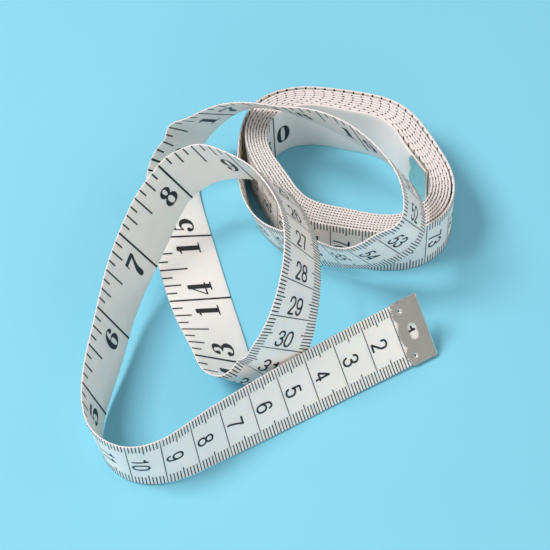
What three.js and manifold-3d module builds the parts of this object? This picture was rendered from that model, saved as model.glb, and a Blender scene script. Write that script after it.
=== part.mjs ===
// A soft cloth tape measure: one white tape with a folded metal tip on each end.
// It lies as it was dropped. The zero end leads off to the right, the free run
// stands on its lower edge in loops, and the rest is wound in a loose oval roll.
// Millimetres, +Z up, the table at z = 0.
import * as THREE from "three";
import { mergeVertices } from "three/addons/utils/BufferGeometryUtils.js";
import Module from "manifold-3d";

// Tape
const tapeWidth = 20;
const tapeThickness = 0.45;
const inchLength = 25.4;
const scaleInches = 80;
const bareTail = 66; // unprinted length beyond the last inch mark
const tapeLength = scaleInches * inchLength + bareTail;

// Free run, from the zero end to the roll. Each point is a place of the lower
// edge and the tilt of the tape there: [x, y, height, degrees that the top
// leans to the left of the way the scale runs].
const freeRun = [
  [47.5, -33.5, 1.0, -44], // zero end, leaning back
  [15, -48.8, 0.4, -36],
  [-7, -59.5, 0.4, -27],
  [-22, -66.5, 0.6, -18],
  [-33, -70.6, 0.7, -9], // loop at the front left
  [-45, -69.6, 0.5, 0],
  [-53, -61.6, 0.4, 5],
  [-53.4, -49.5, 0.8, 10.5],
  [-48.5, -32.5, 2.4, 18], // rising along the left
  [-43, -13.5, 4.8, 22],
  [-34.8, 4.2, 8.5, 28.5],
  [-29.5, 15.5, 11, 26],
  [-24.3, 22.4, 14, 14],
  [-15.5, 24.6, 18.4, -4],
  [-6.6, 21.2, 22.8, -17], // arch over the edge of the roll
  [2.6, 15.2, 25.5, -28],
  [10.2, 3, 26.9, -32],
  [13.4, -16, 27, -30],
  [11, -32.4, 21, -33], // down to the front, behind the zero end
  [6.6, -41, 12.5, -31],
  [0.2, -45, 5.4, -5],
  [-6.2, -42.3, 1.3, 36],
  [-9.2, -32, 0.5, 56], // away to the back, almost flat on the table
  [-12.6, -15.2, 0.4, 69],
  [-17.5, 7.2, 0.4, 75],
  [-22, 28.5, 0.5, 64],
  [-23.4, 41, 2.1, 43],
  [-21.2, 49, 6.4, 12], // turn at the back left
  [-14.8, 52, 13.4, -20],
  [-4.4, 51.6, 21.3, -37],
  [9.8, 47, 22.2, -36], // across the top of the roll
  [26.5, 34.5, 22.7, -24.5],
  [40.7, 18.7, 23.8, -26],
  [46.4, 4.5, 23.3, -24],
  [44.2, -5.2, 18.8, -8],
  [34.4, -7.4, 12.2, 16.5], // down in front of the roll
  [17.6, -1.2, 4.7, 15],
  [1.6, 9.8, 0.9, 17],
  [-4.6, 20.8, 0.2, 13],
  [-7.8, 34, 0.1, 4],
];

// Roll: a spiral of rounded-oblong turns, wound clockwise and inwards.
const rollCentre = [25.1, 29.4];
const rollCornerAngle = 138.6; // degrees from +X to the corner where the first turn begins
const rollRadius = 31.4; // mean radius of the first turn
const rollPitch = 0.985; // closer to the middle by this each turn
const rollSlack = 0.55; // and once more by this, over the first turn
const rollOval = 4.65; // longer than round along the corner's diagonal
const rollSquareness = 1.7;
const rollLeadIn = 1 / 24; // turns of the spiral before that corner
const rollPointsPerTurn = 24;
const tailEase = 1.8; // the last stretch stands off the wall by this
const tailEaseStep = 0.4; // or by so much more, step by step, until its tip is clear
const tailClearance = 0.15; // from the far tip to the turn outside it
const tailLift = 0.6; // the far tip is off the table by this
const tailEaseTurns = 0.2;

// Tips, the same stamping on both ends
const tipSheet = 0.3;
const tipClearance = 0.2; // from the sheet to the tape's faces and end
const tipOverhang = 0.2; // beyond each edge of the tape
const tipReach = 9.8; // from the outer end to the tops of the scallops
const scallopDepth = 1.2;
const scallopValley = 4.1; // from the middle of the tape
const windowAcross = 5.6;
const windowAlong = 2.8;
const windowPlace = 5.1; // from the outer end
const stakeRadius = 0.7;
const stakePlace = 7.1; // from the outer end
const stakeInset = 2.6; // from the edge of the tape
const stakeClearance = 0.25; // round each stake in the tape
const dimpleRadius = 0.9; // at the mouth of the punched dent over each stake
const dimpleFloor = 0.4;
const dimpleDepth = 0.25;
const flatEnd = tipReach + 0.7; // the tape is flat this far from each end

// Fineness of the meshes
const tapeStep = 4;
const arcSegments = 10;

const wasm = await Module();
wasm.setup();

const tapeMaterial = new THREE.MeshStandardMaterial({
  color: 0xe9e8e6,
  roughness: 0.55,
  metalness: 0,
});
const tipMaterial = new THREE.MeshStandardMaterial({
  color: 0xa39d92,
  roughness: 0.35,
  metalness: 1,
});

// Solids are joined and cut as closed meshes.
function toSolid(geometry) {
  const bare = geometry.clone();
  bare.deleteAttribute("normal");
  bare.deleteAttribute("uv");
  const merged = mergeVertices(bare, 1e-4);
  const mesh = new wasm.Mesh({
    numProp: 3,
    vertProperties: merged.attributes.position.array,
    triVerts: new Uint32Array(merged.index.array),
  });
  return new wasm.Manifold(mesh);
}

function toGeometry(solid) {
  const mesh = solid.getMesh();
  const geometry = new THREE.BufferGeometry();
  geometry.setAttribute("position", new THREE.BufferAttribute(mesh.vertProperties, 3));
  geometry.setIndex(new THREE.BufferAttribute(mesh.triVerts, 1));
  const faceted = geometry.toNonIndexed();
  faceted.computeVertexNormals();
  return faceted;
}

// A place of the lower edge on the roll, upright on the table.
function rollPoint(turn, lastTurn, ease) {
  const lobe = 4 * Math.PI * turn;
  const eased = THREE.MathUtils.smoothstep(turn, lastTurn - tailEaseTurns, lastTurn);
  const tightened = rollSlack * THREE.MathUtils.smoothstep(turn, 0, 1);
  const mean = rollRadius - rollPitch * turn - tightened - ease * eased;
  const radius = mean + rollOval * Math.cos(lobe) + rollSquareness * Math.cos(2 * lobe);
  const angle = THREE.MathUtils.degToRad(rollCornerAngle) - 2 * Math.PI * turn;
  const x = rollCentre[0] + radius * Math.cos(angle);
  const y = rollCentre[1] + radius * Math.sin(angle);
  return [x, y, tailLift * eased, 0];
}

function lowerEdgePoints(lastTurn, ease) {
  const points = [...freeRun];
  const count = Math.ceil((lastTurn + rollLeadIn) * rollPointsPerTurn);
  for (let i = 0; i <= count; i++) {
    points.push(rollPoint(i / rollPointsPerTurn - rollLeadIn, lastTurn, ease));
  }
  return points;
}

// A natural cubic spline through rows of numbers, with the distance between
// places as its parameter.
class RowSpline {
  constructor(rows) {
    this.rows = rows;
    this.knots = [0];
    for (let i = 1; i < rows.length; i++) {
      const [a, b] = [rows[i - 1], rows[i]];
      const apart = Math.hypot(b[0] - a[0], b[1] - a[1], b[2] - a[2]);
      this.knots.push(this.knots[i - 1] + apart);
    }
    this.end = this.knots[rows.length - 1];
    this.bends = rows[0].map((_, column) => this.secondDerivatives(column));
  }

  secondDerivatives(column) {
    const { rows, knots } = this;
    const last = rows.length - 1;
    const ratio = new Array(last + 1).fill(0);
    const bend = new Array(last + 1).fill(0);
    for (let i = 1; i < last; i++) {
      const before = knots[i] - knots[i - 1];
      const after = knots[i + 1] - knots[i];
      const slopeBefore = (rows[i][column] - rows[i - 1][column]) / before;
      const slopeAfter = (rows[i + 1][column] - rows[i][column]) / after;
      const pivot = 2 * (before + after) - before * ratio[i - 1];
      ratio[i] = after / pivot;
      bend[i] = (6 * (slopeAfter - slopeBefore) - before * bend[i - 1]) / pivot;
    }
    for (let i = last - 1; i > 0; i--) {
      bend[i] -= ratio[i] * bend[i + 1];
    }
    return bend;
  }

  at(parameter) {
    const { rows, knots, bends } = this;
    let i = knots.findIndex((knot) => knot > parameter) - 1;
    if (i < 0) {
      i = rows.length - 2;
    }
    const span = knots[i + 1] - knots[i];
    const b = (parameter - knots[i]) / span;
    const a = 1 - b;
    return rows[i].map((value, column) => {
      const bend = bends[column];
      const sag = (a ** 3 - a) * bend[i] + (b ** 3 - b) * bend[i + 1];
      return a * value + b * rows[i + 1][column] + (sag * span * span) / 6;
    });
  }
}

// The tape's middle line, measured along its length.
class TapePath {
  constructor(lastTurn, ease) {
    this.spline = new RowSpline(lowerEdgePoints(lastTurn, ease));
    this.parameters = [];
    this.lengths = [];
    const fine = 0.5;
    let length = 0;
    let previous = null;
    for (let parameter = 0; parameter <= this.spline.end; parameter += fine) {
      const { middle } = this.section(parameter);
      if (previous) {
        length += middle.distanceTo(previous);
      }
      this.parameters.push(parameter);
      this.lengths.push(length);
      previous = middle;
    }
    this.length = length;
  }

  // Across is the direction from the lower edge to the upper one.
  section(parameter) {
    const nudge = 0.05;
    const [x, y, z, lean] = this.spline.at(parameter);
    const ahead = this.spline.at(parameter + nudge);
    const along = new THREE.Vector3(ahead[0] - x, ahead[1] - y, ahead[2] - z).normalize();
    const left = new THREE.Vector3(-along.y, along.x, 0).normalize();
    const upright = new THREE.Vector3().crossVectors(along, left);
    const tilt = THREE.MathUtils.degToRad(lean);
    const across = upright.multiplyScalar(Math.cos(tilt)).addScaledVector(left, Math.sin(tilt));
    const middle = new THREE.Vector3(x, y, z).addScaledVector(across, tapeWidth / 2);
    return { middle, across };
  }

  // The middle, the way along, across and out of the centimetre face at a
  // place on the scale. Each end of the tape is flat.
  frameAt(place) {
    const clamped = THREE.MathUtils.clamp(place, flatEnd, tapeLength - flatEnd);
    const { middle, across } = this.section(this.parameterAt(clamped));
    const next = this.section(this.parameterAt(clamped + 0.1)).middle;
    const along = next.sub(middle).normalize();
    const outward = new THREE.Vector3().crossVectors(across, along).normalize();
    const square = new THREE.Vector3().crossVectors(outward, across);
    middle.addScaledVector(square, place - clamped);
    return { middle, along: square, across, outward };
  }

  parameterAt(place) {
    const { lengths, parameters } = this;
    let low = 0;
    let high = lengths.length - 1;
    while (high - low > 1) {
      const half = (low + high) >> 1;
      if (lengths[half] <= place) {
        low = half;
      } else {
        high = half;
      }
    }
    const share = (place - lengths[low]) / (lengths[high] - lengths[low]);
    return THREE.MathUtils.lerp(parameters[low], parameters[high], share);
  }
}

// The roll has as many turns as the tape's length winds.
function windTurns(ease) {
  let turns = 8;
  let path = new TapePath(turns, ease);
  for (let round = 0; round < 4; round++) {
    const oneTurn = 2 * Math.PI * (rollRadius - rollPitch * turns);
    turns += (tapeLength + 1 - path.length) / oneTurn;
    path = new TapePath(turns, ease);
  }
  return { path, turns };
}

// From the far tip to the turn outside it, seen from above.
function roomAtTail({ path, turns }) {
  const oneTurn = 2 * Math.PI * (rollRadius - rollPitch * turns);
  const wall = [];
  for (let back = oneTurn / 2; back <= 1.5 * oneTurn; back += 1) {
    wall.push(path.frameAt(tapeLength - back).middle);
  }
  let nearest = Infinity;
  for (let back = 0; back <= tipReach; back += 1) {
    const { middle } = path.frameAt(tapeLength - back);
    for (const place of wall) {
      nearest = Math.min(nearest, Math.hypot(place.x - middle.x, place.y - middle.y));
    }
  }
  return nearest - tapeThickness - tipClearance - tipSheet;
}

// The straight end needs more room where the wall bends more.
function windTape() {
  let ease = tailEase;
  let wound = windTurns(ease);
  while (roomAtTail(wound) < tailClearance) {
    ease += tailEaseStep;
    wound = windTurns(ease);
  }
  return wound;
}

// A closed band of rectangular section through frames along the path.
function makeTapeSolid(path) {
  const first = tipSheet + tipClearance;
  const last = tapeLength - first;
  const steps = Math.ceil((last - first) / tapeStep);
  const positions = [];
  const triangles = [];
  const corners = [[-1, -1], [1, -1], [1, 1], [-1, 1]];
  for (let i = 0; i <= steps; i++) {
    const { middle, across, outward } = path.frameAt(THREE.MathUtils.lerp(first, last, i / steps));
    for (const [up, out] of corners) {
      const corner = middle.clone();
      corner.addScaledVector(across, (up * tapeWidth) / 2);
      corner.addScaledVector(outward, (out * tapeThickness) / 2);
      positions.push(corner.x, corner.y, corner.z);
    }
    if (i === steps) {
      break;
    }
    for (let side = 0; side < 4; side++) {
      const a = 4 * i + side;
      const b = 4 * i + ((side + 1) % 4);
      triangles.push(a, a + 4, b, b, a + 4, b + 4);
    }
  }
  const end = 4 * steps;
  triangles.push(0, 1, 2, 0, 2, 3);
  triangles.push(end, end + 2, end + 1, end, end + 3, end + 2);
  const geometry = new THREE.BufferGeometry();
  geometry.setAttribute("position", new THREE.Float32BufferAttribute(positions, 3));
  geometry.setIndex(triangles);
  return toSolid(geometry);
}

// One leaf of the tip: x runs inwards from the outer end, y across the tape.
// Its inner end has three scallops.
function leafOutline(start) {
  const half = tapeWidth / 2 + tipOverhang;
  const stops = [-half, -scallopValley, scallopValley, half];
  const outline = new THREE.Shape();
  outline.moveTo(start, -half);
  outline.lineTo(tipReach - scallopDepth, -half);
  for (let i = 0; i + 1 < stops.length; i++) {
    const middle = (stops[i] + stops[i + 1]) / 2;
    const reach = stops[i + 1] - middle;
    const radius = (reach ** 2 + scallopDepth ** 2) / (2 * scallopDepth);
    const turn = Math.asin(reach / radius);
    outline.absarc(tipReach - radius, middle, radius, -turn, turn, false);
  }
  outline.lineTo(start, half);
  outline.closePath();
  return outline;
}

function windowOutline() {
  const radius = windowAlong / 2;
  const reach = windowAcross / 2 - radius;
  const outline = new THREE.Path();
  outline.absarc(windowPlace, reach, radius, 0, Math.PI, false);
  outline.absarc(windowPlace, -reach, radius, Math.PI, 2 * Math.PI, false);
  outline.closePath();
  return outline;
}

function plate(outline, bottom) {
  const options = { depth: tipSheet, bevelEnabled: false, curveSegments: arcSegments };
  return toSolid(new THREE.ExtrudeGeometry(outline, options).translate(0, 0, bottom));
}

function roundBar(radius, height, place) {
  const geometry = new THREE.CylinderGeometry(radius, radius, height, arcSegments);
  return toSolid(geometry.rotateX(Math.PI / 2).translate(...place));
}

function stakePlaces() {
  const y = tapeWidth / 2 - stakeInset;
  return [-y, y].map((side) => [stakePlace, side, 0]);
}

// The folded tip lies round the tape's end, with its window on the -Z leaf.
function makeTipSolid() {
  const inner = tapeThickness / 2 + tipClearance;
  const outer = inner + tipSheet;
  const width = tapeWidth + 2 * tipOverhang;
  const windowLeaf = leafOutline(outer);
  windowLeaf.holes.push(windowOutline());
  const fold = new THREE.Shape();
  fold.absarc(0, 0, outer, Math.PI / 2, 1.5 * Math.PI, false);
  fold.lineTo(tipSheet, -outer);
  fold.lineTo(tipSheet, -inner);
  fold.lineTo(0, -inner);
  fold.absarc(0, 0, inner, 1.5 * Math.PI, Math.PI / 2, true);
  fold.lineTo(tipSheet, inner);
  fold.lineTo(tipSheet, outer);
  fold.closePath();
  const foldOptions = { depth: width, bevelEnabled: false, curveSegments: arcSegments };
  const foldBar = new THREE.ExtrudeGeometry(fold, foldOptions);
  foldBar.rotateX(Math.PI / 2).translate(outer, width / 2, 0);
  let tip = toSolid(foldBar)
    .add(plate(windowLeaf, -outer))
    .add(plate(leafOutline(outer), inner));
  for (const place of stakePlaces()) {
    tip = tip.add(roundBar(stakeRadius, 2 * outer, place));
  }
  for (const [x, y] of stakePlaces()) {
    const dent = new THREE.CylinderGeometry(dimpleFloor, dimpleRadius, dimpleDepth, arcSegments);
    dent.rotateX(Math.PI / 2).translate(x, y, -outer + dimpleDepth / 2);
    tip = tip.subtract(toSolid(dent));
  }
  return tip;
}

// From the tip's own axes to an end of the tape. The far tip is turned over
// end for end, so that its window is on the same face of the tape.
function endMatrix(path, place) {
  const { middle, along, across, outward } = path.frameAt(place);
  const inwards = place === 0 ? 1 : -1;
  const x = along.clone().multiplyScalar(inwards);
  const y = across.clone().multiplyScalar(inwards);
  const z = outward.clone().negate();
  return new THREE.Matrix4().makeBasis(x, y, z).setPosition(middle);
}

function makeTip(name, matrix) {
  const tip = new THREE.Mesh(toGeometry(makeTipSolid()), tipMaterial.clone());
  tip.name = name;
  tip.applyMatrix4(matrix);
  return tip;
}

function makeTape(path, endMatrices) {
  let solid = makeTapeSolid(path);
  for (const matrix of endMatrices) {
    for (const place of stakePlaces()) {
      const hole = roundBar(stakeRadius + stakeClearance, 4 * tapeThickness, place);
      solid = solid.subtract(hole.transform(matrix.elements));
    }
  }
  const tape = new THREE.Mesh(toGeometry(solid), tapeMaterial);
  tape.name = "tape";
  return tape;
}

// The least space between two stretches of the tape, found on points over its
// middle surface: each point against the small patch round every other one.
function leastGap(path) {
  const spacing = 2;
  const rows = [-1, -0.5, 0, 0.5, 1];
  const apart = 12; // stretches nearer than this along the tape are neighbours
  const reach = 8; // points farther from each other than this are left out
  const patches = [];
  for (let place = 0; place <= tapeLength; place += spacing) {
    const { middle, along, across, outward } = path.frameAt(place);
    for (const row of rows) {
      const point = middle.clone().addScaledVector(across, (row * tapeWidth) / 2);
      patches.push({ place, point, along, across, outward, row });
    }
  }
  const halfRow = tapeWidth / 8;
  let least = { gap: Infinity };
  const between = new THREE.Vector3();
  for (const p of patches) {
    for (const q of patches) {
      if (q.place < p.place + apart || Math.abs(q.point.x - p.point.x) > reach) {
        continue;
      }
      between.subVectors(q.point, p.point);
      if (between.lengthSq() > reach ** 2) {
        continue;
      }
      const ahead = Math.max(0, Math.abs(between.dot(p.along)) - spacing / 2);
      const sideways = between.dot(p.across);
      const up = p.row < 1 ? halfRow : 0;
      const down = p.row > -1 ? halfRow : 0;
      const beside = Math.max(0, sideways - up, -down - sideways);
      const gap = Math.hypot(ahead, beside, between.dot(p.outward)) - tapeThickness;
      if (gap < least.gap) {
        least = { gap, from: p.place, to: q.place };
      }
    }
  }
  return least;
}

const { path, turns } = windTape();
const zeroEnd = endMatrix(path, 0);
const farEnd = endMatrix(path, tapeLength);

const tapeMeasure = new THREE.Group();
tapeMeasure.name = "tape_measure";
tapeMeasure.add(makeTape(path, [zeroEnd, farEnd]));
tapeMeasure.add(makeTip("zero_end_tip", zeroEnd));
tapeMeasure.add(makeTip("far_end_tip", farEnd));

// The origin is under the middle of the whole layout, on the table.
const box = new THREE.Box3().setFromObject(tapeMeasure, true);
const middle = box.getCenter(new THREE.Vector3());
tapeMeasure.position.set(-middle.x, -middle.y, -box.min.z);

const root = new THREE.Group();
root.add(tapeMeasure);

const least = leastGap(path);
console.log(
  `tape ${tapeLength.toFixed(1)} mm, ${turns.toFixed(2)} turns in the roll, ` +
    `least gap to itself ${least.gap.toFixed(2)} mm ` +
    `(${least.from.toFixed(0)} to ${least.to.toFixed(0)} mm along)`,
);

export default root;
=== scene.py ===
import math

import bmesh
import bpy
import numpy as np
from mathutils import Matrix, Vector


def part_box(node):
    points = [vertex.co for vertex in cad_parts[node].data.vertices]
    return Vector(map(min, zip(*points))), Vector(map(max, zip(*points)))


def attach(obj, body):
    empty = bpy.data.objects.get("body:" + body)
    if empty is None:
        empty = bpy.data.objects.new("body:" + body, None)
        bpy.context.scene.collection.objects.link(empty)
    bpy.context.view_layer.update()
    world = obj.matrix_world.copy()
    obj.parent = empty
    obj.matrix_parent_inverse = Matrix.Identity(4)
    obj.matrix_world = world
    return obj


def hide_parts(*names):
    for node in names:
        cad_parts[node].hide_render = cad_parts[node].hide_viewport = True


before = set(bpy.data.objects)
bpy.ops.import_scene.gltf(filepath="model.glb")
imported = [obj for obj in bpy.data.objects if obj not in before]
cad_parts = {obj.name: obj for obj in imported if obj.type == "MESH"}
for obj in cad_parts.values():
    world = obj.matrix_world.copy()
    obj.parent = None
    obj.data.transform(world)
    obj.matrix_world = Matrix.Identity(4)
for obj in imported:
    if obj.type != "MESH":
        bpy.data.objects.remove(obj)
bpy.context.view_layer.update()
scene = bpy.context.scene
scene.view_settings.view_transform = "Standard"
mm = 0.001
print("frame loaded:", ", ".join(sorted(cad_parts)))


# small helpers
def toLinear(hexColour):
    channels = [int(hexColour[i:i + 2], 16) / 255 for i in (1, 3, 5)]
    return [c / 12.92 if c <= 0.04045 else ((c + 0.055) / 1.055) ** 2.4 for c in channels] + [1]


def addNode(tree, kind, inputs=None, **settings):
    node = tree.nodes.new(kind)
    for name, value in settings.items():
        setattr(node, name, value)
    for socket, value in (inputs or {}).items():
        if isinstance(value, bpy.types.NodeSocket):
            tree.links.new(value, node.inputs[socket])
        else:
            node.inputs[socket].default_value = value
    return node


def newMaterial(name):
    material = bpy.data.materials.new(name)
    material.use_nodes = True
    material.node_tree.nodes.clear()
    return material, material.node_tree


def addPiece(name, mesh, material):
    piece = bpy.data.objects.new(name, mesh)
    scene.collection.objects.link(piece)
    mesh.materials.clear()
    mesh.materials.append(material)
    return piece


# the way the tape lies
tape = {
    "width": 20 * mm,
    "thickness": 0.5 * mm,  # with the loft of its weave, a little over the solid's
    "woundThickness": 0.75 * mm,  # drawn fuller in the roll, where the solid keeps its turns apart
    "woundFrom": 620 * mm,
    "woundBy": 680 * mm,
    "length": 80 * 25.4 * mm + 66 * mm,  # printed scale and bare tail
    "flatEnd": 10.5 * mm,  # straight inside each tip
    "endGap": 0.5 * mm,  # tape's end to the outside of the tip's fold
    "edgeRound": 0.2 * mm,
    "rimBends": (30, 60),  # degrees round the edge
    "stripsAcross": 12,  # enough for the twisted stretches to lie under their print
    "step": 0.8 * mm,
}

# lower edge of the free run: x, y, height in metres, lean of the top to the left in degrees
freeRun = [
    (0.0475, -0.0335, 0.0010, -44), (0.0150, -0.0488, 0.0004, -36),
    (-0.0070, -0.0595, 0.0004, -27), (-0.0220, -0.0665, 0.0006, -18),
    (-0.0330, -0.0706, 0.0007, -9), (-0.0450, -0.0696, 0.0005, 0),
    (-0.0530, -0.0616, 0.0004, 5), (-0.0534, -0.0495, 0.0008, 10.5),
    (-0.0485, -0.0325, 0.0024, 18), (-0.0430, -0.0135, 0.0048, 22),
    (-0.0348, 0.0042, 0.0085, 28.5), (-0.0295, 0.0155, 0.0110, 26),
    (-0.0243, 0.0224, 0.0140, 14), (-0.0155, 0.0246, 0.0184, -4),
    (-0.0066, 0.0212, 0.0228, -17), (0.0026, 0.0152, 0.0255, -28),
    (0.0102, 0.0030, 0.0269, -32), (0.0134, -0.0160, 0.0270, -30),
    (0.0110, -0.0324, 0.0210, -33), (0.0066, -0.0410, 0.0125, -31),
    (0.0002, -0.0450, 0.0054, -5), (-0.0062, -0.0423, 0.0013, 36),
    (-0.0092, -0.0320, 0.0005, 56), (-0.0126, -0.0152, 0.0004, 69),
    (-0.0175, 0.0072, 0.0004, 75), (-0.0220, 0.0285, 0.0005, 64),
    (-0.0234, 0.0410, 0.0021, 43), (-0.0212, 0.0490, 0.0064, 12),
    (-0.0148, 0.0520, 0.0134, -20), (-0.0044, 0.0516, 0.0213, -37),
    (0.0098, 0.0470, 0.0222, -36), (0.0265, 0.0345, 0.0227, -24.5),
    (0.0407, 0.0187, 0.0238, -26), (0.0464, 0.0045, 0.0233, -24),
    (0.0442, -0.0052, 0.0188, -8), (0.0344, -0.0074, 0.0122, 16.5),
    (0.0176, -0.0012, 0.0047, 15), (0.0016, 0.0098, 0.0009, 17),
    (-0.0046, 0.0208, 0.0002, 13), (-0.0078, 0.0340, 0.0001, 4),
]

# rounded-oblong spiral, clockwise and inwards
roll = {
    "centre": (0.0251, 0.0294),
    "cornerAngle": math.radians(138.6),
    "radius": 31.4 * mm,
    "pitch": 0.985 * mm,
    "slack": 0.55 * mm,  # taken up over the first turn
    "oval": 4.65 * mm,
    "squareness": 1.7 * mm,
    "leadIn": 1 / 24,  # turns before the corner
    "firstTurns": 8,  # a guess, which the tape's length then corrects
    "spare": 1 * mm,  # of path beyond the tape's end
    "pointsPerTurn": 24,
    "tailEase": 1.8 * mm,  # tail stands off the wall
    "tailLift": 0.6 * mm,
    "tailEaseTurns": 0.2,
}


def smoothStep(share):
    share = min(max(share, 0), 1)
    return share * share * (3 - 2 * share)


def rollPoint(turn, lastTurn):
    eased = smoothStep((turn - lastTurn) / roll["tailEaseTurns"] + 1)
    lobe = 4 * math.pi * turn
    radius = roll["radius"] - roll["pitch"] * turn
    radius -= roll["slack"] * smoothStep(turn) + roll["tailEase"] * eased
    radius += roll["oval"] * math.cos(lobe) + roll["squareness"] * math.cos(2 * lobe)
    angle = roll["cornerAngle"] - 2 * math.pi * turn
    x = roll["centre"][0] + radius * math.cos(angle)
    y = roll["centre"][1] + radius * math.sin(angle)
    return (x, y, roll["tailLift"] * eased, 0)


class TapePath:
    # a natural cubic spline along the lower edge; places are metres along the middle line
    measureStep = 0.5 * mm
    edgeAhead = 0.05 * mm  # to the point that gives the lower edge's direction
    middleAhead = 0.1 * mm  # and the middle line's

    def __init__(self, lastTurn):
        self.offset = np.zeros(3)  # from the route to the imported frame
        count = math.ceil((lastTurn + roll["leadIn"]) * roll["pointsPerTurn"])
        turns = [i / roll["pointsPerTurn"] - roll["leadIn"] for i in range(count + 1)]
        self.rows = np.array(freeRun + [rollPoint(turn, lastTurn) for turn in turns])
        self.hops = np.linalg.norm(np.diff(self.rows[:, :3], axis=0), axis=1)
        self.knots = np.concatenate([[0], np.cumsum(self.hops)])
        self.bends = self.solveBends()
        self.parameters = np.arange(0, self.knots[-1], self.measureStep)
        middle, _ = self.section(self.parameters)
        strides = np.linalg.norm(np.diff(middle, axis=0), axis=1)
        self.lengths = np.concatenate([[0], np.cumsum(strides)])

    def solveBends(self):
        hops = self.hops
        slopes = np.diff(self.rows, axis=0) / hops[:, None]
        inner = np.diag(2 * (hops[:-1] + hops[1:])) + np.diag(hops[1:-1], 1) + np.diag(hops[1:-1], -1)
        bends = np.zeros_like(self.rows)
        bends[1:-1] = np.linalg.solve(inner, 6 * np.diff(slopes, axis=0))
        return bends

    def at(self, parameters):
        i = np.clip(np.searchsorted(self.knots, parameters, side="right") - 1, 0, len(self.hops) - 1)
        span = self.hops[i][:, None]
        b = (parameters - self.knots[i])[:, None] / span
        a = 1 - b
        sag = (a ** 3 - a) * self.bends[i] + (b ** 3 - b) * self.bends[i + 1]
        return a * self.rows[i] + b * self.rows[i + 1] + sag * span ** 2 / 6

    def section(self, parameters):
        rows = self.at(parameters)
        ahead = self.at(parameters + self.edgeAhead)[:, :3] - rows[:, :3]
        along = ahead / np.linalg.norm(ahead, axis=1)[:, None]
        left = np.stack([-along[:, 1], along[:, 0], np.zeros(len(along))], axis=1)
        left /= np.linalg.norm(left, axis=1)[:, None]
        upright = np.cross(along, left)
        lean = np.radians(rows[:, 3])[:, None]
        across = np.cos(lean) * upright + np.sin(lean) * left
        return rows[:, :3] + across * tape["width"] / 2, across

    def frames(self, places):
        # middle, along, across to the upper edge, and out of the centimetre face
        places = np.asarray(places, float)
        held = np.clip(places, tape["flatEnd"], tape["length"] - tape["flatEnd"])
        middle, across = self.section(np.interp(held, self.lengths, self.parameters))
        ahead, _ = self.section(np.interp(held + self.middleAhead, self.lengths, self.parameters))
        outward = np.cross(across, ahead - middle)
        outward /= np.linalg.norm(outward, axis=1)[:, None]
        along = np.cross(outward, across)
        middle = middle + along * (places - held)[:, None] + self.offset
        return middle, along, across, outward


def windTape():
    turns = roll["firstTurns"]
    path = TapePath(turns)
    for _ in range(4):
        oneTurn = 2 * math.pi * (roll["radius"] - roll["pitch"] * turns)
        turns += (tape["length"] + roll["spare"] - path.lengths[-1]) / oneTurn
        path = TapePath(turns)
    return path, turns


# camera, at the photograph's angle
camera = {
    "focalPixels": 1500,
    "framePixels": 550,
    "elevation": math.radians(54.6),
    "roll": math.radians(-3.8),
    "distance": 473 * mm,
}


def placeCamera(aim):
    data = bpy.data.cameras.new("camera")
    data.sensor_width = 36
    data.lens = data.sensor_width * camera["focalPixels"] / camera["framePixels"]
    data.clip_start = 0.01
    view = bpy.data.objects.new("camera", data)
    scene.collection.objects.link(view)
    scene.camera = view
    forward = Vector((0, math.cos(camera["elevation"]), -math.sin(camera["elevation"])))
    right = Vector((1, 0, 0))
    up = right.cross(forward)
    c, s = math.cos(camera["roll"]), math.sin(camera["roll"])
    right, up = c * right + s * up, c * up - s * right
    turn = Matrix((right, up, -forward)).transposed().to_4x4()
    view.matrix_world = Matrix.Translation(Vector(aim) - camera["distance"] * forward) @ turn


# materials
def coatedCloth():
    # calendered PVC on woven glass: a smooth satin white, with the threads just showing through,
    # the gaps between them painted darker, partly the weave's own pattern and partly painted shade
    # in its hollows, and milky, so that light spreads half a millimetre or so under its surface
    # threads are 0.5 mm apart, drawn at 0.8 mm so that they show at all
    thread = 0.8 * mm
    bandSpacing = 0.314  # of a wave texture at scale 1
    material, tree = newMaterial("white coated cloth")
    flat = addNode(tree, "ShaderNodeUVMap", uv_map="flat").outputs["UV"]
    waves = {"Vector": flat, "Scale": bandSpacing / thread, "Distortion": 0.6, "Detail": 1}
    warp = addNode(tree, "ShaderNodeTexWave", waves, bands_direction="X")
    weft = addNode(tree, "ShaderNodeTexWave", waves, bands_direction="Y")
    weave = addNode(tree, "ShaderNodeMath", {
        0: warp.outputs["Fac"], 1: weft.outputs["Fac"]}, operation="MULTIPLY")
    cloud = addNode(tree, "ShaderNodeTexNoise", {"Vector": flat, "Scale": 1 / (9 * mm), "Detail": 4})
    milk = addNode(tree, "ShaderNodeMix", {
        "Factor": cloud.outputs["Fac"], "A": toLinear("#FBF9F6"), "B": toLinear("#F5F2EE")},
        data_type="RGBA")
    # painted shade in the weave's hollows: the gaps between threads, low in the bump too, take the
    # greyer white
    threadGapsAndShade = addNode(tree, "ShaderNodeMapRange", {
        "Value": weave.outputs["Value"], "To Min": 0.3, "To Max": 0})
    tone = addNode(tree, "ShaderNodeMix", {
        "Factor": threadGapsAndShade.outputs["Result"], "A": milk.outputs["Result"], "B": toLinear("#E4E1DD")},
        data_type="RGBA")
    rub = addNode(tree, "ShaderNodeMapRange", {
        "Value": cloud.outputs["Fac"], "To Min": 0.38, "To Max": 0.55})
    relief = addNode(tree, "ShaderNodeBump", {
        "Height": weave.outputs["Value"], "Strength": 0.25, "Distance": 0.03 * mm})
    shader = addNode(tree, "ShaderNodeBsdfPrincipled", {
        "Base Color": tone.outputs["Result"], "Roughness": rub.outputs["Result"], "IOR": 1.53,
        "Subsurface Weight": 1, "Subsurface Radius": (1, 0.8, 0.65), "Subsurface Scale": 0.5 * mm,
        "Normal": relief.outputs["Normal"]})
    addNode(tree, "ShaderNodeOutputMaterial", {"Surface": shader.outputs["BSDF"]})
    return material


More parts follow.
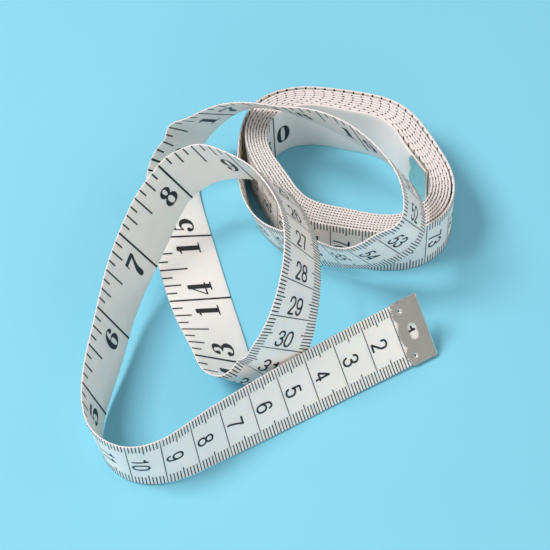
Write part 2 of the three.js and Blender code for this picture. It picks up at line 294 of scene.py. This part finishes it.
def slitEdge():
    # slit through the coats: a dull, grainy line where the ends of the threads show
    material, tree = newMaterial("slit edge of coated cloth")
    flat = addNode(tree, "ShaderNodeUVMap", uv_map="flat").outputs["UV"]
    ends = addNode(tree, "ShaderNodeTexNoise", {"Vector": flat, "Scale": 1 / (0.5 * mm), "Detail": 2})
    tone = addNode(tree, "ShaderNodeMix", {
        "Factor": ends.outputs["Fac"], "A": toLinear("#F7F5F4"), "B": toLinear("#CCC7C5")},
        data_type="RGBA")
    shader = addNode(tree, "ShaderNodeBsdfPrincipled", {
        "Base Color": tone.outputs["Result"], "Roughness": 0.75, "IOR": 1.5})
    addNode(tree, "ShaderNodeOutputMaterial", {"Surface": shader.outputs["BSDF"]})
    return material


def printInk():
    # screen-printed vinyl ink: dense black with a low sheen, a little thin in places
    material, tree = newMaterial("black screen ink")
    place = addNode(tree, "ShaderNodeTexCoord").outputs["Object"]
    thin = addNode(tree, "ShaderNodeTexNoise", {"Vector": place, "Scale": 1 / (0.8 * mm), "Detail": 3})
    tone = addNode(tree, "ShaderNodeMix", {
        "Factor": thin.outputs["Fac"], "A": toLinear("#101011"), "B": toLinear("#2C2C2E")},
        data_type="RGBA")
    shader = addNode(tree, "ShaderNodeBsdfPrincipled", {
        "Base Color": tone.outputs["Result"], "Roughness": 0.5, "IOR": 1.5})
    addNode(tree, "ShaderNodeOutputMaterial", {"Surface": shader.outputs["BSDF"]})
    return material


def platedSheet():
    # nickel-plated pressed steel: a dull grey mirror with fine rubbing along its length
    material, tree = newMaterial("nickel-plated sheet steel")
    place = addNode(tree, "ShaderNodeTexCoord").outputs["Object"]
    spread = addNode(tree, "ShaderNodeMapping", {"Vector": place, "Scale": (1, 8, 1)})
    rubbed = addNode(tree, "ShaderNodeTexNoise", {
        "Vector": spread.outputs["Vector"], "Scale": 1 / (2 * mm), "Detail": 3})
    stain = addNode(tree, "ShaderNodeTexNoise", {"Vector": place, "Scale": 1 / (5 * mm), "Detail": 3})
    tone = addNode(tree, "ShaderNodeMix", {
        "Factor": stain.outputs["Fac"], "A": toLinear("#E9EBE5"), "B": toLinear("#D9DBD3")},
        data_type="RGBA")
    rub = addNode(tree, "ShaderNodeMapRange", {
        "Value": rubbed.outputs["Fac"], "To Min": 0.24, "To Max": 0.32})
    relief = addNode(tree, "ShaderNodeBump", {
        "Height": rubbed.outputs["Fac"], "Strength": 0.015, "Distance": 0.02 * mm})
    shader = addNode(tree, "ShaderNodeBsdfPrincipled", {
        "Base Color": tone.outputs["Result"], "Metallic": 1, "Roughness": rub.outputs["Result"],
        "Normal": relief.outputs["Normal"]})
    addNode(tree, "ShaderNodeOutputMaterial", {"Surface": shader.outputs["BSDF"]})
    return material


def tableCard():
    # smooth coated card: flat pale blue, no gloss to speak of
    material, tree = newMaterial("pale blue coated card")
    place = addNode(tree, "ShaderNodeTexCoord").outputs["Object"]
    cloud = addNode(tree, "ShaderNodeTexNoise", {"Vector": place, "Scale": 1 / (60 * mm), "Detail": 2})
    tone = addNode(tree, "ShaderNodeMix", {
        "Factor": cloud.outputs["Fac"], "A": toLinear("#80CDE4"), "B": toLinear("#7BC9E1")},
        data_type="RGBA")
    shader = addNode(tree, "ShaderNodeBsdfPrincipled", {
        "Base Color": tone.outputs["Result"], "Roughness": 0.7, "Specular IOR Level": 0.25})
    addNode(tree, "ShaderNodeOutputMaterial", {"Surface": shader.outputs["BSDF"]})
    return material


# tape
def thicknessAt(places):
    ends = (tape["woundFrom"], tape["woundBy"])
    return np.interp(places, ends, (tape["thickness"], tape["woundThickness"]))


def tapeSection():
    # round the section: metres across the tape, half thicknesses out of the centimetre face
    r = tape["edgeRound"]
    flatHalf = tape["width"] / 2 - r
    fall = 2 * r / tape["thickness"]
    face = np.linspace(-flatHalf, flatHalf, tape["stripsAcross"] + 1)[:-1]
    bends = np.radians([0, *tape["rimBends"], 90])
    rim = [(flatHalf + r * math.sin(a), 1 - fall + fall * math.cos(a)) for a in bends]
    rim += [(u, -v) for u, v in reversed(rim)]
    side = [(u, 1) for u in face] + rim[:-1]
    return side + [(-u, -v) for u, v in side]


def makeTape(path, material, edgeMaterial):
    section = np.array(tapeSection())
    start, end = tape["endGap"], tape["length"] - tape["endGap"]
    places = np.linspace(start, end, round((end - start) / tape["step"]) + 1)
    middle, _, across, outward = path.frames(places)
    outward *= thicknessAt(places)[:, None] / 2
    corners = middle[:, None] + across[:, None] * section[None, :, :1]
    corners = corners + outward[:, None] * section[None, :, 1:]
    ring = len(section)
    faces = []
    for i in range(len(places) - 1):
        for j in range(ring):
            a, b = i * ring + j, i * ring + (j + 1) % ring
            faces.append((a, b, b + ring, a + ring))
    last = (len(places) - 1) * ring
    faces.append(tuple(range(ring - 1, -1, -1)))
    faces.append(tuple(range(last, last + ring)))
    mesh = bpy.data.meshes.new("tapeMesh")
    mesh.from_pydata(corners.reshape(-1, 3).tolist(), [], faces)
    sides = np.diff(section * (1, tape["thickness"] / 2), axis=0)
    girth = np.concatenate([[0], np.cumsum(np.linalg.norm(sides, axis=1))])
    flat = mesh.uv_layers.new(name="flat")
    vertexOf = np.zeros(len(mesh.loops), int)
    mesh.loops.foreach_get("vertex_index", vertexOf)
    flatPlaces = np.stack([places[vertexOf // ring], girth[vertexOf % ring]], axis=1)
    flat.data.foreach_set("uv", flatPlaces.ravel())
    mesh.shade_smooth()
    piece = addPiece("tape", mesh, material)
    mesh.materials.append(edgeMaterial)
    strip = np.arange(len(mesh.polygons)) % ring % (ring // 2)
    mesh.polygons.foreach_set("material_index", (strip > tape["stripsAcross"]).astype(int))
    return piece, corners.reshape(-1, 3)


# print
ink = {
    "lastCentimetre": 203,
    "lastInch": 80,
    "rise": 0.03 * mm,  # stands this proud of the tape
    "tickWidth": 0.32 * mm,
    "upperTicks": (3.0 * mm, 4.0 * mm),  # millimetre and half-centimetre
    "lowerTicks": (3.8 * mm, 4.9 * mm),
    "lineWidth": 0.26 * mm,
    "figureHeight": 5.3 * mm,
    "figureWidth": {1: 3.1 * mm, 2: 2.85 * mm, 3: 2.6 * mm},  # by the count of figures
    "figureGap": 0.3 * mm,
    "figureWeight": 0.62 * mm,
    "figureFoot": 0.8 * mm,  # before the centimetre line
    "figureMiddle": 0.5 * mm,  # above the tape's middle
    "inchTickWidth": 0.54 * mm,
    "inchTicks": (3.3 * mm, 5.4 * mm, 9.0 * mm),  # eighth, quarter, half
    "inchLineWidth": 0.66 * mm,
    "inchHeight": 7.6 * mm,
    "inchWide": 0.66,  # a figure's width over its height
    "inchHairline": 0.06,  # thinnest strokes, over the height
    "inchSwell": 1.5,  # thick strokes beyond that
    "inchFoot": -4.9 * mm,  # from the tape's middle
    "inchBefore": 2.3 * mm,  # figure's right side to the inch line
    "inchAfter": 1.7 * mm,  # second figure's left side from the inch line
    "tickStep": 4 * mm,  # longest piece of a tick, so that it follows the tape's twists
    "strokeStep": 0.8 * mm,  # and of a figure's straight stroke
    "curveSteps": 5,  # between two points of a figure
    "lineEnd": 0.25,  # straight strokes end nearly square
}

# plain figures: strokes of even weight on a unit box, smooth unless they are straight lines
plainFigures = {
    "0": [
        ("loop", [(0.5, 1), (0.9, 0.86), (1, 0.5), (0.9, 0.14), (0.5, 0), (0.1, 0.14), (0, 0.5),
                  (0.1, 0.86)]),
    ],
    "1": [
        ("line", [(0.62, 0), (0.62, 1)]),
        ("curve", [(0.62, 0.97), (0.5, 0.85), (0.34, 0.8), (0.14, 0.78)]),
    ],
    "2": [
        ("curve", [(0.03, 0.72), (0.12, 0.92), (0.5, 1), (0.88, 0.92), (0.97, 0.72), (0.85, 0.5),
                   (0.42, 0.24), (0.04, 0.02)]),
        ("line", [(0, 0), (1, 0)]),
    ],
    "3": [
        ("curve", [(0.05, 0.8), (0.18, 0.95), (0.5, 1), (0.84, 0.92), (0.93, 0.76), (0.8, 0.59),
                   (0.42, 0.53)]),
        ("curve", [(0.42, 0.53), (0.86, 0.46), (1, 0.27), (0.86, 0.07), (0.5, 0), (0.15, 0.06),
                   (0, 0.24)]),
    ],
    "4": [
        ("line", [(0.74, 0), (0.74, 1)]),
        ("line", [(0.74, 1), (0, 0.3)]),
        ("line", [(0, 0.3), (1, 0.3)]),
    ],
    "5": [
        ("line", [(0.92, 1), (0.2, 1)]),
        ("line", [(0.2, 1), (0.1, 0.5)]),
        ("curve", [(0.1, 0.5), (0.3, 0.62), (0.56, 0.64), (0.89, 0.53), (1, 0.32), (0.87, 0.08),
                   (0.5, 0), (0.14, 0.06), (0, 0.22)]),
    ],
    "6": [
        ("curve", [(0.93, 0.82), (0.8, 0.95), (0.52, 1), (0.2, 0.89), (0.04, 0.6), (0, 0.33),
                   (0.12, 0.08), (0.5, 0), (0.88, 0.09), (1, 0.31), (0.88, 0.54), (0.52, 0.62),
                   (0.15, 0.52), (0.01, 0.34)]),
    ],
    "7": [
        ("line", [(0, 1), (1, 1)]),
        ("curve", [(1, 1), (0.66, 0.6), (0.45, 0.28), (0.36, 0)]),
    ],
    "8": [
        ("loop", [(0.5, 1), (0.84, 0.93), (0.93, 0.77), (0.8, 0.6), (0.5, 0.53), (0.2, 0.6),
                  (0.07, 0.77), (0.16, 0.93)]),
        ("loop", [(0.5, 0.53), (0.88, 0.45), (1, 0.26), (0.88, 0.07), (0.5, 0), (0.12, 0.07), (0, 0.26),
                  (0.12, 0.45)]),
    ],
}

# book figures with thick and thin strokes: x, y and weight, all over the figure's height
bookFigures = {
    "0": [
        ("loop", [(0.33, 0.965, 0.06), (0.49, 0.86, 0.13), (0.56, 0.5, 0.18), (0.49, 0.14, 0.13),
                  (0.33, 0.035, 0.06), (0.17, 0.14, 0.13), (0.1, 0.5, 0.18), (0.17, 0.86, 0.13)]),
    ],
    "1": [
        ("line", [(0.34, 0.03, 0.18), (0.34, 0.99, 0.18)]),
        ("curve", [(0.4, 0.97, 0.05), (0.24, 0.88, 0.08), (0.1, 0.85, 0.06)]),
        ("line", [(0.08, 0.03, 0.06), (0.6, 0.03, 0.06)]),
    ],
    "2": [
        ("curve", [(0.15, 0.7, 0.17), (0.13, 0.84, 0.08), (0.3, 0.965, 0.06), (0.49, 0.87, 0.15),
                   (0.53, 0.7, 0.17), (0.42, 0.48, 0.12), (0.24, 0.28, 0.07), (0.11, 0.1, 0.06)]),
        ("curve", [(0.1, 0.08, 0.1), (0.25, 0.1, 0.15), (0.45, 0.07, 0.15), (0.55, 0.1, 0.08),
                   (0.6, 0.26, 0.05)]),
    ],
    "3": [
        ("curve", [(0.15, 0.77, 0.16), (0.15, 0.89, 0.08), (0.32, 0.965, 0.06), (0.49, 0.88, 0.14),
                   (0.52, 0.75, 0.16), (0.45, 0.6, 0.1), (0.26, 0.535, 0.05)]),
        ("curve", [(0.26, 0.535, 0.05), (0.48, 0.48, 0.1), (0.56, 0.28, 0.18), (0.49, 0.11, 0.13),
                   (0.31, 0.035, 0.06), (0.13, 0.11, 0.08), (0.13, 0.24, 0.17)]),
    ],
    "4": [
        ("line", [(0.46, 0.03, 0.17), (0.46, 1, 0.17)]),
        ("line", [(0.45, 0.99, 0.06), (0.04, 0.29, 0.06)]),
        ("line", [(0.02, 0.27, 0.065), (0.66, 0.27, 0.065)]),
        ("line", [(0.24, 0.03, 0.06), (0.66, 0.03, 0.06)]),
    ],
    "5": [
        ("line", [(0.13, 0.92, 0.15), (0.56, 0.92, 0.15)]),
        ("line", [(0.14, 0.97, 0.055), (0.12, 0.48, 0.055)]),
        ("curve", [(0.12, 0.5, 0.05), (0.3, 0.6, 0.08), (0.49, 0.52, 0.15), (0.56, 0.31, 0.18),
                   (0.48, 0.11, 0.12), (0.3, 0.035, 0.06), (0.13, 0.1, 0.08), (0.12, 0.22, 0.17)]),
    ],
    "6": [
        ("curve", [(0.53, 0.77, 0.16), (0.5, 0.9, 0.08), (0.36, 0.965, 0.06), (0.2, 0.85, 0.13),
                   (0.11, 0.6, 0.18), (0.11, 0.32, 0.18), (0.19, 0.1, 0.13), (0.34, 0.035, 0.06),
                   (0.5, 0.13, 0.13), (0.56, 0.31, 0.17), (0.49, 0.5, 0.12), (0.36, 0.57, 0.06),
                   (0.22, 0.52, 0.05), (0.13, 0.4, 0.05)]),
    ],
    "7": [
        ("line", [(0.06, 0.92, 0.14), (0.62, 0.92, 0.14)]),
        ("line", [(0.08, 0.98, 0.055), (0.05, 0.7, 0.055)]),
        ("curve", [(0.6, 0.88, 0.1), (0.43, 0.56, 0.11), (0.32, 0.28, 0.17), (0.3, 0, 0.19)]),
    ],
    "8": [
        ("loop", [(0.33, 0.97, 0.06), (0.47, 0.9, 0.1), (0.51, 0.76, 0.14), (0.46, 0.62, 0.11),
                  (0.33, 0.55, 0.07), (0.2, 0.62, 0.13), (0.15, 0.76, 0.15), (0.19, 0.9, 0.1)]),
        ("loop", [(0.33, 0.55, 0.07), (0.51, 0.44, 0.13), (0.56, 0.27, 0.16), (0.5, 0.1, 0.11),
                  (0.33, 0.03, 0.06), (0.16, 0.1, 0.11), (0.1, 0.27, 0.15), (0.16, 0.44, 0.1)]),
    ],
}


def halfTurn(strokes, middle):
    return [(kind, [(2 * middle - p[0], 1 - p[1], *p[2:]) for p in points]) for kind, points in strokes]


plainFigures["9"] = halfTurn(plainFigures["6"], 0.5)
bookFigures["9"] = halfTurn(bookFigures["6"], ink["inchWide"] / 2)


def smoothPath(points, closed):
    # a cubic from each point to the next, level with the chord between its neighbours
    knots = np.array(points)
    if closed:
        knots = np.concatenate([knots[-1:], knots, knots[:2]])
    else:
        knots = np.concatenate([[2 * knots[0] - knots[1]], knots, [2 * knots[-1] - knots[-2]]])
    steps = np.linspace(0, 1, ink["curveSteps"], endpoint=False)[:, None]
    runs = []
    for a, b, c, d in zip(knots, knots[1:], knots[2:], knots[3:]):
        runs.append(0.5 * (2 * b + (c - a) * steps + (2 * a - 5 * b + 4 * c - d) * steps ** 2
                           + (3 * b - a - 3 * c + d) * steps ** 3))
    return np.concatenate(runs + [knots[-2:-1]])


def strokeStrip(kind, points):
    # two rows of points, right and left of the stroke, in the figure's own plane
    if kind == "line":
        ends = np.array(points)
        count = max(1, math.ceil(np.linalg.norm(ends[1, :2] - ends[0, :2]) / ink["strokeStep"]))
        line = ends[0] + (ends[1] - ends[0]) * np.linspace(0, 1, count + 1)[:, None]
    else:
        line = smoothPath(points, kind == "loop")
    way = np.gradient(line[:, :2], axis=0)
    if kind == "loop":
        way[0] = way[-1] = line[1, :2] - line[-2, :2]
    way /= np.linalg.norm(way, axis=1)[:, None]
    if kind != "loop":  # rounded ends
        caps = np.radians([35, 65, 90])
        for end, sign in ((0, -1), (-1, 1)):
            half = line[end, 2] / 2 * (ink["lineEnd"] if kind == "line" else 1)
            extra = [np.append(line[end, :2] + sign * way[end] * half * math.sin(a),
                               line[end, 2] * math.cos(a)) for a in caps]
            if end == 0:
                line = np.concatenate([extra[::-1], line])
                way = np.concatenate([way[:1].repeat(3, 0), way])
            else:
                line = np.concatenate([line, extra])
                way = np.concatenate([way, way[-1:].repeat(3, 0)])
    side = np.stack([-way[:, 1], way[:, 0]], axis=1) * line[:, 2:] / 2
    return line[:, :2] - side, line[:, :2] + side


class PrintSheet:
    # gathers ink on the two faces of the tape; face is 1 for centimetres and -1 for inches
    def __init__(self, path):
        self.path = path
        self.points = []
        self.faces = []
        self.count = 0

    def add(self, points, faces):
        self.points.append(points)
        self.faces.extend([tuple(i + self.count for i in face) for face in faces])
        self.count += len(points)

    def onFace(self, places, heights, face, fallen=0):
        # fallen is how far below the face, over the thickness
        middle, _, across, outward = self.path.frames(places)
        lift = face * (thicknessAt(places) * (0.5 - fallen) + ink["rise"])
        return middle + across * np.asarray(heights)[:, None] + outward * lift[:, None]

    def addTick(self, place, width, reach, edge, face):
        # from the tape's upper edge, 1, or lower edge, -1, inwards, starting on the edge's rounding
        top = tape["width"] / 2 - tape["edgeRound"]
        bends = np.radians(tape["rimBends"][::-1])
        onRim = top + (tape["edgeRound"] + ink["rise"]) * np.sin(bends)
        steps = max(2, math.ceil(reach / ink["tickStep"]) + 1)
        heights = np.append(onRim, np.linspace(top, tape["width"] / 2 - reach, steps)) * edge
        fallen = np.zeros(len(heights))
        fallen[:len(bends)] = tape["edgeRound"] / tape["thickness"] * (1 - np.cos(bends))
        sides = np.array([place - width / 2, place + width / 2])
        points = self.onFace(np.tile(sides, len(heights)), heights.repeat(2), face, fallen.repeat(2))
        faces = [(i, i + 1, i + 3, i + 2) for i in range(0, 2 * len(heights) - 2, 2)]
        self.add(points, faces if edge * face > 0 else [f[::-1] for f in faces])

    def addLine(self, place, width, face):
        self.addTick(place, width, tape["width"] / 2, 1, face)
        self.addTick(place, width, tape["width"] / 2, -1, face)

    def addFigure(self, strokes, place, height, face):
        # place and height are where the figure's lower left corner is, strokes are in metres
        for kind, points in strokes:
            right, left = strokeStrip(kind, points)
            flat = np.concatenate([right, left])
            if face > 0:  # centimetre figures stand with their heads to the zero end
                spots = self.onFace(place - flat[:, 1], height - flat[:, 0], face)
            else:
                spots = self.onFace(place + flat[:, 0], height + flat[:, 1], face)
            n = len(right)
            self.add(spots, [(i, i + 1, n + i + 1, n + i) for i in range(n - 1)])

    def toMesh(self, name):
        mesh = bpy.data.meshes.new(name)
        mesh.from_pydata(np.concatenate(self.points).tolist(), [], self.faces)
        mesh.validate()
        return mesh


def plainStrokes(figure, width):
    weight = ink["figureWeight"]
    across, tall = width - weight, ink["figureHeight"] - weight
    return [(kind, [(weight / 2 + x * across, weight / 2 + y * tall, weight) for x, y in points])
            for kind, points in plainFigures[figure]]


def bookStrokes(figure):
    tall, thin, swell = ink["inchHeight"], ink["inchHairline"], ink["inchSwell"]
    return [(kind, [(x * tall, y * tall, (thin + (w - thin) * swell) * tall) for x, y, w in points])
            for kind, points in bookFigures[figure]]


def printCentimetres(path):
    sheet = PrintSheet(path)
    for millimetre in range(1, ink["lastCentimetre"] * 10 + 3):
        place = millimetre * mm
        if millimetre % 10 == 0:
            sheet.addLine(place, ink["lineWidth"], 1)
            continue
        long = millimetre % 5 == 0
        sheet.addTick(place, ink["tickWidth"], ink["upperTicks"][long], 1, 1)
        sheet.addTick(place, ink["tickWidth"], ink["lowerTicks"][long], -1, 1)
    for number in range(1, ink["lastCentimetre"] + 1):
        figures = str(number)
        width = ink["figureWidth"][len(figures)]
        whole = len(figures) * width + (len(figures) - 1) * ink["figureGap"]
        height = ink["figureMiddle"] + whole / 2
        place = number * 10 * mm - ink["figureFoot"]
        for figure in figures:
            sheet.addFigure(plainStrokes(figure, width), place, height, 1)
            height -= width + ink["figureGap"]
    return sheet.toMesh("centimetrePrint")


def printInches(path):
    sheet = PrintSheet(path)
    inch = 25.4 * mm
    figureWide = ink["inchWide"] * ink["inchHeight"]
    for eighth in range(1, ink["lastInch"] * 8 + 1):
        place = eighth * inch / 8
        if eighth % 8 == 0:
            sheet.addLine(place, ink["inchLineWidth"], -1)
            continue
        size = 2 if eighth % 4 == 0 else 1 if eighth % 2 == 0 else 0
        sheet.addTick(place, ink["inchTickWidth"], ink["inchTicks"][size], 1, -1)
    for number in range(1, ink["lastInch"] + 1):
        figures = str(number)
        before = number * inch - ink["inchBefore"] - figureWide
        sheet.addFigure(bookStrokes(figures[0]), before, ink["inchFoot"], -1)
        if len(figures) == 2:
            after = number * inch + ink["inchAfter"]
            sheet.addFigure(bookStrokes(figures[1]), after, ink["inchFoot"], -1)
    return sheet.toMesh("inchPrint")


# metal tips, one stamping for both ends
tip = {
    "sheet": 0.3 * mm,
    "opening": 0.85 * mm,  # between the leaves
    "overhang": 0.2 * mm,
    "reach": 9.8 * mm,
    "scallopDepth": 1.2 * mm,
    "scallopValley": 4.1 * mm,
    "windowAcross": 5.6 * mm,
    "windowAlong": 2.8 * mm,
    "windowPlace": 5.1 * mm,
    "dimplePlace": 7.1 * mm,
    "dimpleInset": 2.6 * mm,
    "dimpleRings": ((0.9, 0), (0.8, 0.05), (0.68, 0.22), (0.5, 0.42), (0.24, 0.5)),  # radius, depth, mm
    "dimpleSides": 20,
    "arcSteps": 14,
    "foldSteps": 12,
    "edgeRound": 0.07 * mm,
    "edgeFrom": math.radians(50),  # bends sharper than this are edges
}


def arcPoints(centre, radius, start, end):
    return [(centre[0] + radius * math.cos(a), centre[1] + radius * math.sin(a))
            for a in np.linspace(start, end, tip["arcSteps"])]


def leafEdge():
    # three even scallops across the end of a leaf
    half = tape["width"] / 2 + tip["overhang"]
    stops = (-half, -tip["scallopValley"], tip["scallopValley"], half)
    deep = tip["scallopDepth"]
    edge = []
    for near, far in zip(stops, stops[1:]):
        span = (far - near) / 2
        radius = (span ** 2 + deep ** 2) / (2 * deep)
        turn = math.asin(span / radius)
        lobe = arcPoints((tip["reach"] - radius, (near + far) / 2), radius, -turn, turn)
        edge += lobe[1:] if edge else lobe
    return edge


def windowEdge():
    radius = tip["windowAlong"] / 2
    reach = tip["windowAcross"] / 2 - radius
    edge = arcPoints((tip["windowPlace"], reach), radius, 0, math.pi)
    return edge + arcPoints((tip["windowPlace"], -reach), radius, math.pi, 2 * math.pi)


def makeTipMesh():
    # drawn flat with the fold at x = 0, then bent round the tape's end
    foldRadius = tip["opening"] / 2 + tip["sheet"] / 2
    foldMiddle = foldRadius + tip["sheet"] / 2
    foldHalf = math.pi / 2 * foldRadius
    spread = foldHalf - foldMiddle  # from a place on a leaf to its place on the flat sheet
    leaf = [(x + spread, y) for x, y in leafEdge()]
    outline = leaf + [(-x, y) for x, y in reversed(leaf)]
    aside = tape["width"] / 2 - tip["dimpleInset"]
    dimples = [(tip["dimplePlace"] + spread, aside), (tip["dimplePlace"] + spread, -aside)]
    ringTurns = np.linspace(0, 2 * math.pi, tip["dimpleSides"], endpoint=False)
    work = bmesh.new()

    def addLoop(points):
        corners = [work.verts.new((x, y, 0)) for x, y in points]
        return [work.edges.new((a, b)) for a, b in zip(corners, corners[1:] + corners[:1])]

    edges = addLoop(outline) + addLoop([(x + spread, y) for x, y in windowEdge()])
    rims = []
    for x, y in dimples:
        mouth = tip["dimpleRings"][0][0] * mm
        rim = addLoop([(x + mouth * math.cos(a), y + mouth * math.sin(a)) for a in ringTurns])
        rims.append([edge.verts[0] for edge in rim])
        edges += rim
    bmesh.ops.triangle_fill(work, use_beauty=True, use_dissolve=False, edges=edges)
    for (x, y), rim in zip(dimples, rims):  # pressed bowl in each hole
        for radius, depth in tip["dimpleRings"][1:]:
            ring = [work.verts.new((x + radius * mm * math.cos(a), y + radius * mm * math.sin(a),
                                    -depth * mm)) for a in ringTurns]
            for i in range(len(ring)):
                work.faces.new((rim[i - 1], rim[i], ring[i], ring[i - 1]))
            rim = ring
        work.faces.new(rim)
    for place in np.linspace(-foldHalf, foldHalf, tip["foldSteps"] + 1):
        everything = work.verts[:] + work.edges[:] + work.faces[:]
        bmesh.ops.bisect_plane(
            work, geom=everything, plane_co=(place, 0, 0), plane_no=(1, 0, 0), dist=1e-7)
    bmesh.ops.recalc_face_normals(work, faces=work.faces[:])
    for vert in work.verts:
        x, y, z = vert.co
        out = foldRadius + z
        turn = min(max(x / foldRadius, -math.pi / 2), math.pi / 2)
        past = x - turn * foldRadius
        vert.co = (foldMiddle - out * math.cos(turn) + abs(past), y, -out * math.sin(turn))
    mesh = bpy.data.meshes.new("tipMesh")
    work.to_mesh(mesh)
    work.free()
    return mesh


def makeTip(name, mesh, path, place, material):
    piece = addPiece(name, mesh.copy(), material)
    piece.data.shade_smooth()
    thick = piece.modifiers.new("sheet", "SOLIDIFY")
    thick.thickness = tip["sheet"]
    thick.offset = 0
    edge = piece.modifiers.new("edge", "BEVEL")
    edge.width = tip["edgeRound"]
    edge.segments = 2
    edge.limit_method = "ANGLE"
    edge.angle_limit = tip["edgeFrom"]
    piece.modifiers.new("flats", "WEIGHTED_NORMAL")  # keeps the leaves flat up to their edges
    evaluated = piece.evaluated_get(bpy.context.evaluated_depsgraph_get())
    finished = bpy.data.meshes.new_from_object(evaluated)
    piece.modifiers.clear()
    piece.data = finished
    middle, along, across, outward = (Vector(v[0]) for v in path.frames([place]))
    inwards = 1 if place == 0 else -1  # far tip is turned end for end
    turn = Matrix((inwards * along, inwards * across, -outward)).transposed().to_4x4()
    piece.matrix_world = Matrix.Translation(middle) @ turn
    return piece


# floor and light
def makeFloor(material):
    size = 3
    mesh = bpy.data.meshes.new("tableMesh")
    corners = [(-size, -size, 0), (size, -size, 0), (size, size, 0), (-size, size, 0)]
    mesh.from_pydata(corners, [], [(0, 1, 2, 3)])
    addPiece("table", mesh, material)


lamps = {
    "softbox": {"place": (-0.72, 0.05, 1.05), "size": 0.5, "watts": 15.0, "colour": "#FFF6F3"},
    "right bounce": {"place": (1.05, 0.15, 0.68), "size": 0.9, "watts": 3.0, "colour": "#FFF6F3"},
    "front bounce": {"place": (0.1, -1.15, 0.35), "size": 0.9, "watts": 4.5, "colour": "#FFF6F3"},
}
sky = {"colour": "#FFF6F4", "strength": 0.38}


def lightScene():
    for name, setting in lamps.items():
        data = bpy.data.lights.new(name, "AREA")
        data.size = setting["size"]
        data.energy = setting["watts"]
        data.color = toLinear(setting["colour"])[:3]
        lamp = bpy.data.objects.new(name, data)
        scene.collection.objects.link(lamp)
        place = Vector(setting["place"])
        aim = (-place).to_track_quat("-Z", "Y").to_matrix().to_4x4()
        lamp.matrix_world = Matrix.Translation(place) @ aim
    world = bpy.data.worlds.new("soft room")
    world.use_nodes = True
    world.node_tree.nodes.clear()
    glow = addNode(world.node_tree, "ShaderNodeBackground", {
        "Color": toLinear(sky["colour"]), "Strength": sky["strength"]})
    addNode(world.node_tree, "ShaderNodeOutputWorld", {"Surface": glow.outputs["Background"]})
    scene.world = world


# making
path, turns = windTape()
tapeWhite = coatedCloth()
tapePiece, tapePoints = makeTape(path, tapeWhite, slitEdge())

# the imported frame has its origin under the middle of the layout, so the route moves there
cadLow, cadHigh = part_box("tape")
low, high = tapePoints.min(0), tapePoints.max(0)
path.offset = np.array([(cadLow.x + cadHigh.x - low[0] - high[0]) / 2,
                        (cadLow.y + cadHigh.y - low[1] - high[1]) / 2, cadLow.z - low[2]])
tapePiece.data.transform(Matrix.Translation(Vector(path.offset)))
placeCamera(path.offset)
print("tape wound:", round(turns, 2), "turns, moved to the frame by", path.offset.round(5).tolist())

inkBlack = printInk()
centimetrePiece = addPiece("centimetre_print", printCentimetres(path), inkBlack)
inchPiece = addPiece("inch_print", printInches(path), inkBlack)
inkFaces = len(centimetrePiece.data.polygons) + len(inchPiece.data.polygons)
print("printed:", inkFaces, "faces of ink")

tipMetal = platedSheet()
tipMesh = makeTipMesh()
zeroTip = makeTip("zero_tip_stamping", tipMesh, path, 0, tipMetal)
farTip = makeTip("far_tip_stamping", tipMesh, path, tape["length"], tipMetal)
print("tips folded:", len(zeroTip.data.polygons), "faces each")

for piece in (tapePiece, centimetrePiece, inchPiece, zeroTip, farTip):
    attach(piece, "root")
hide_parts("tape")
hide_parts("zero_end_tip")
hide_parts("far_end_tip")

makeFloor(tableCard())
lightScene()
print("floor and lights set")
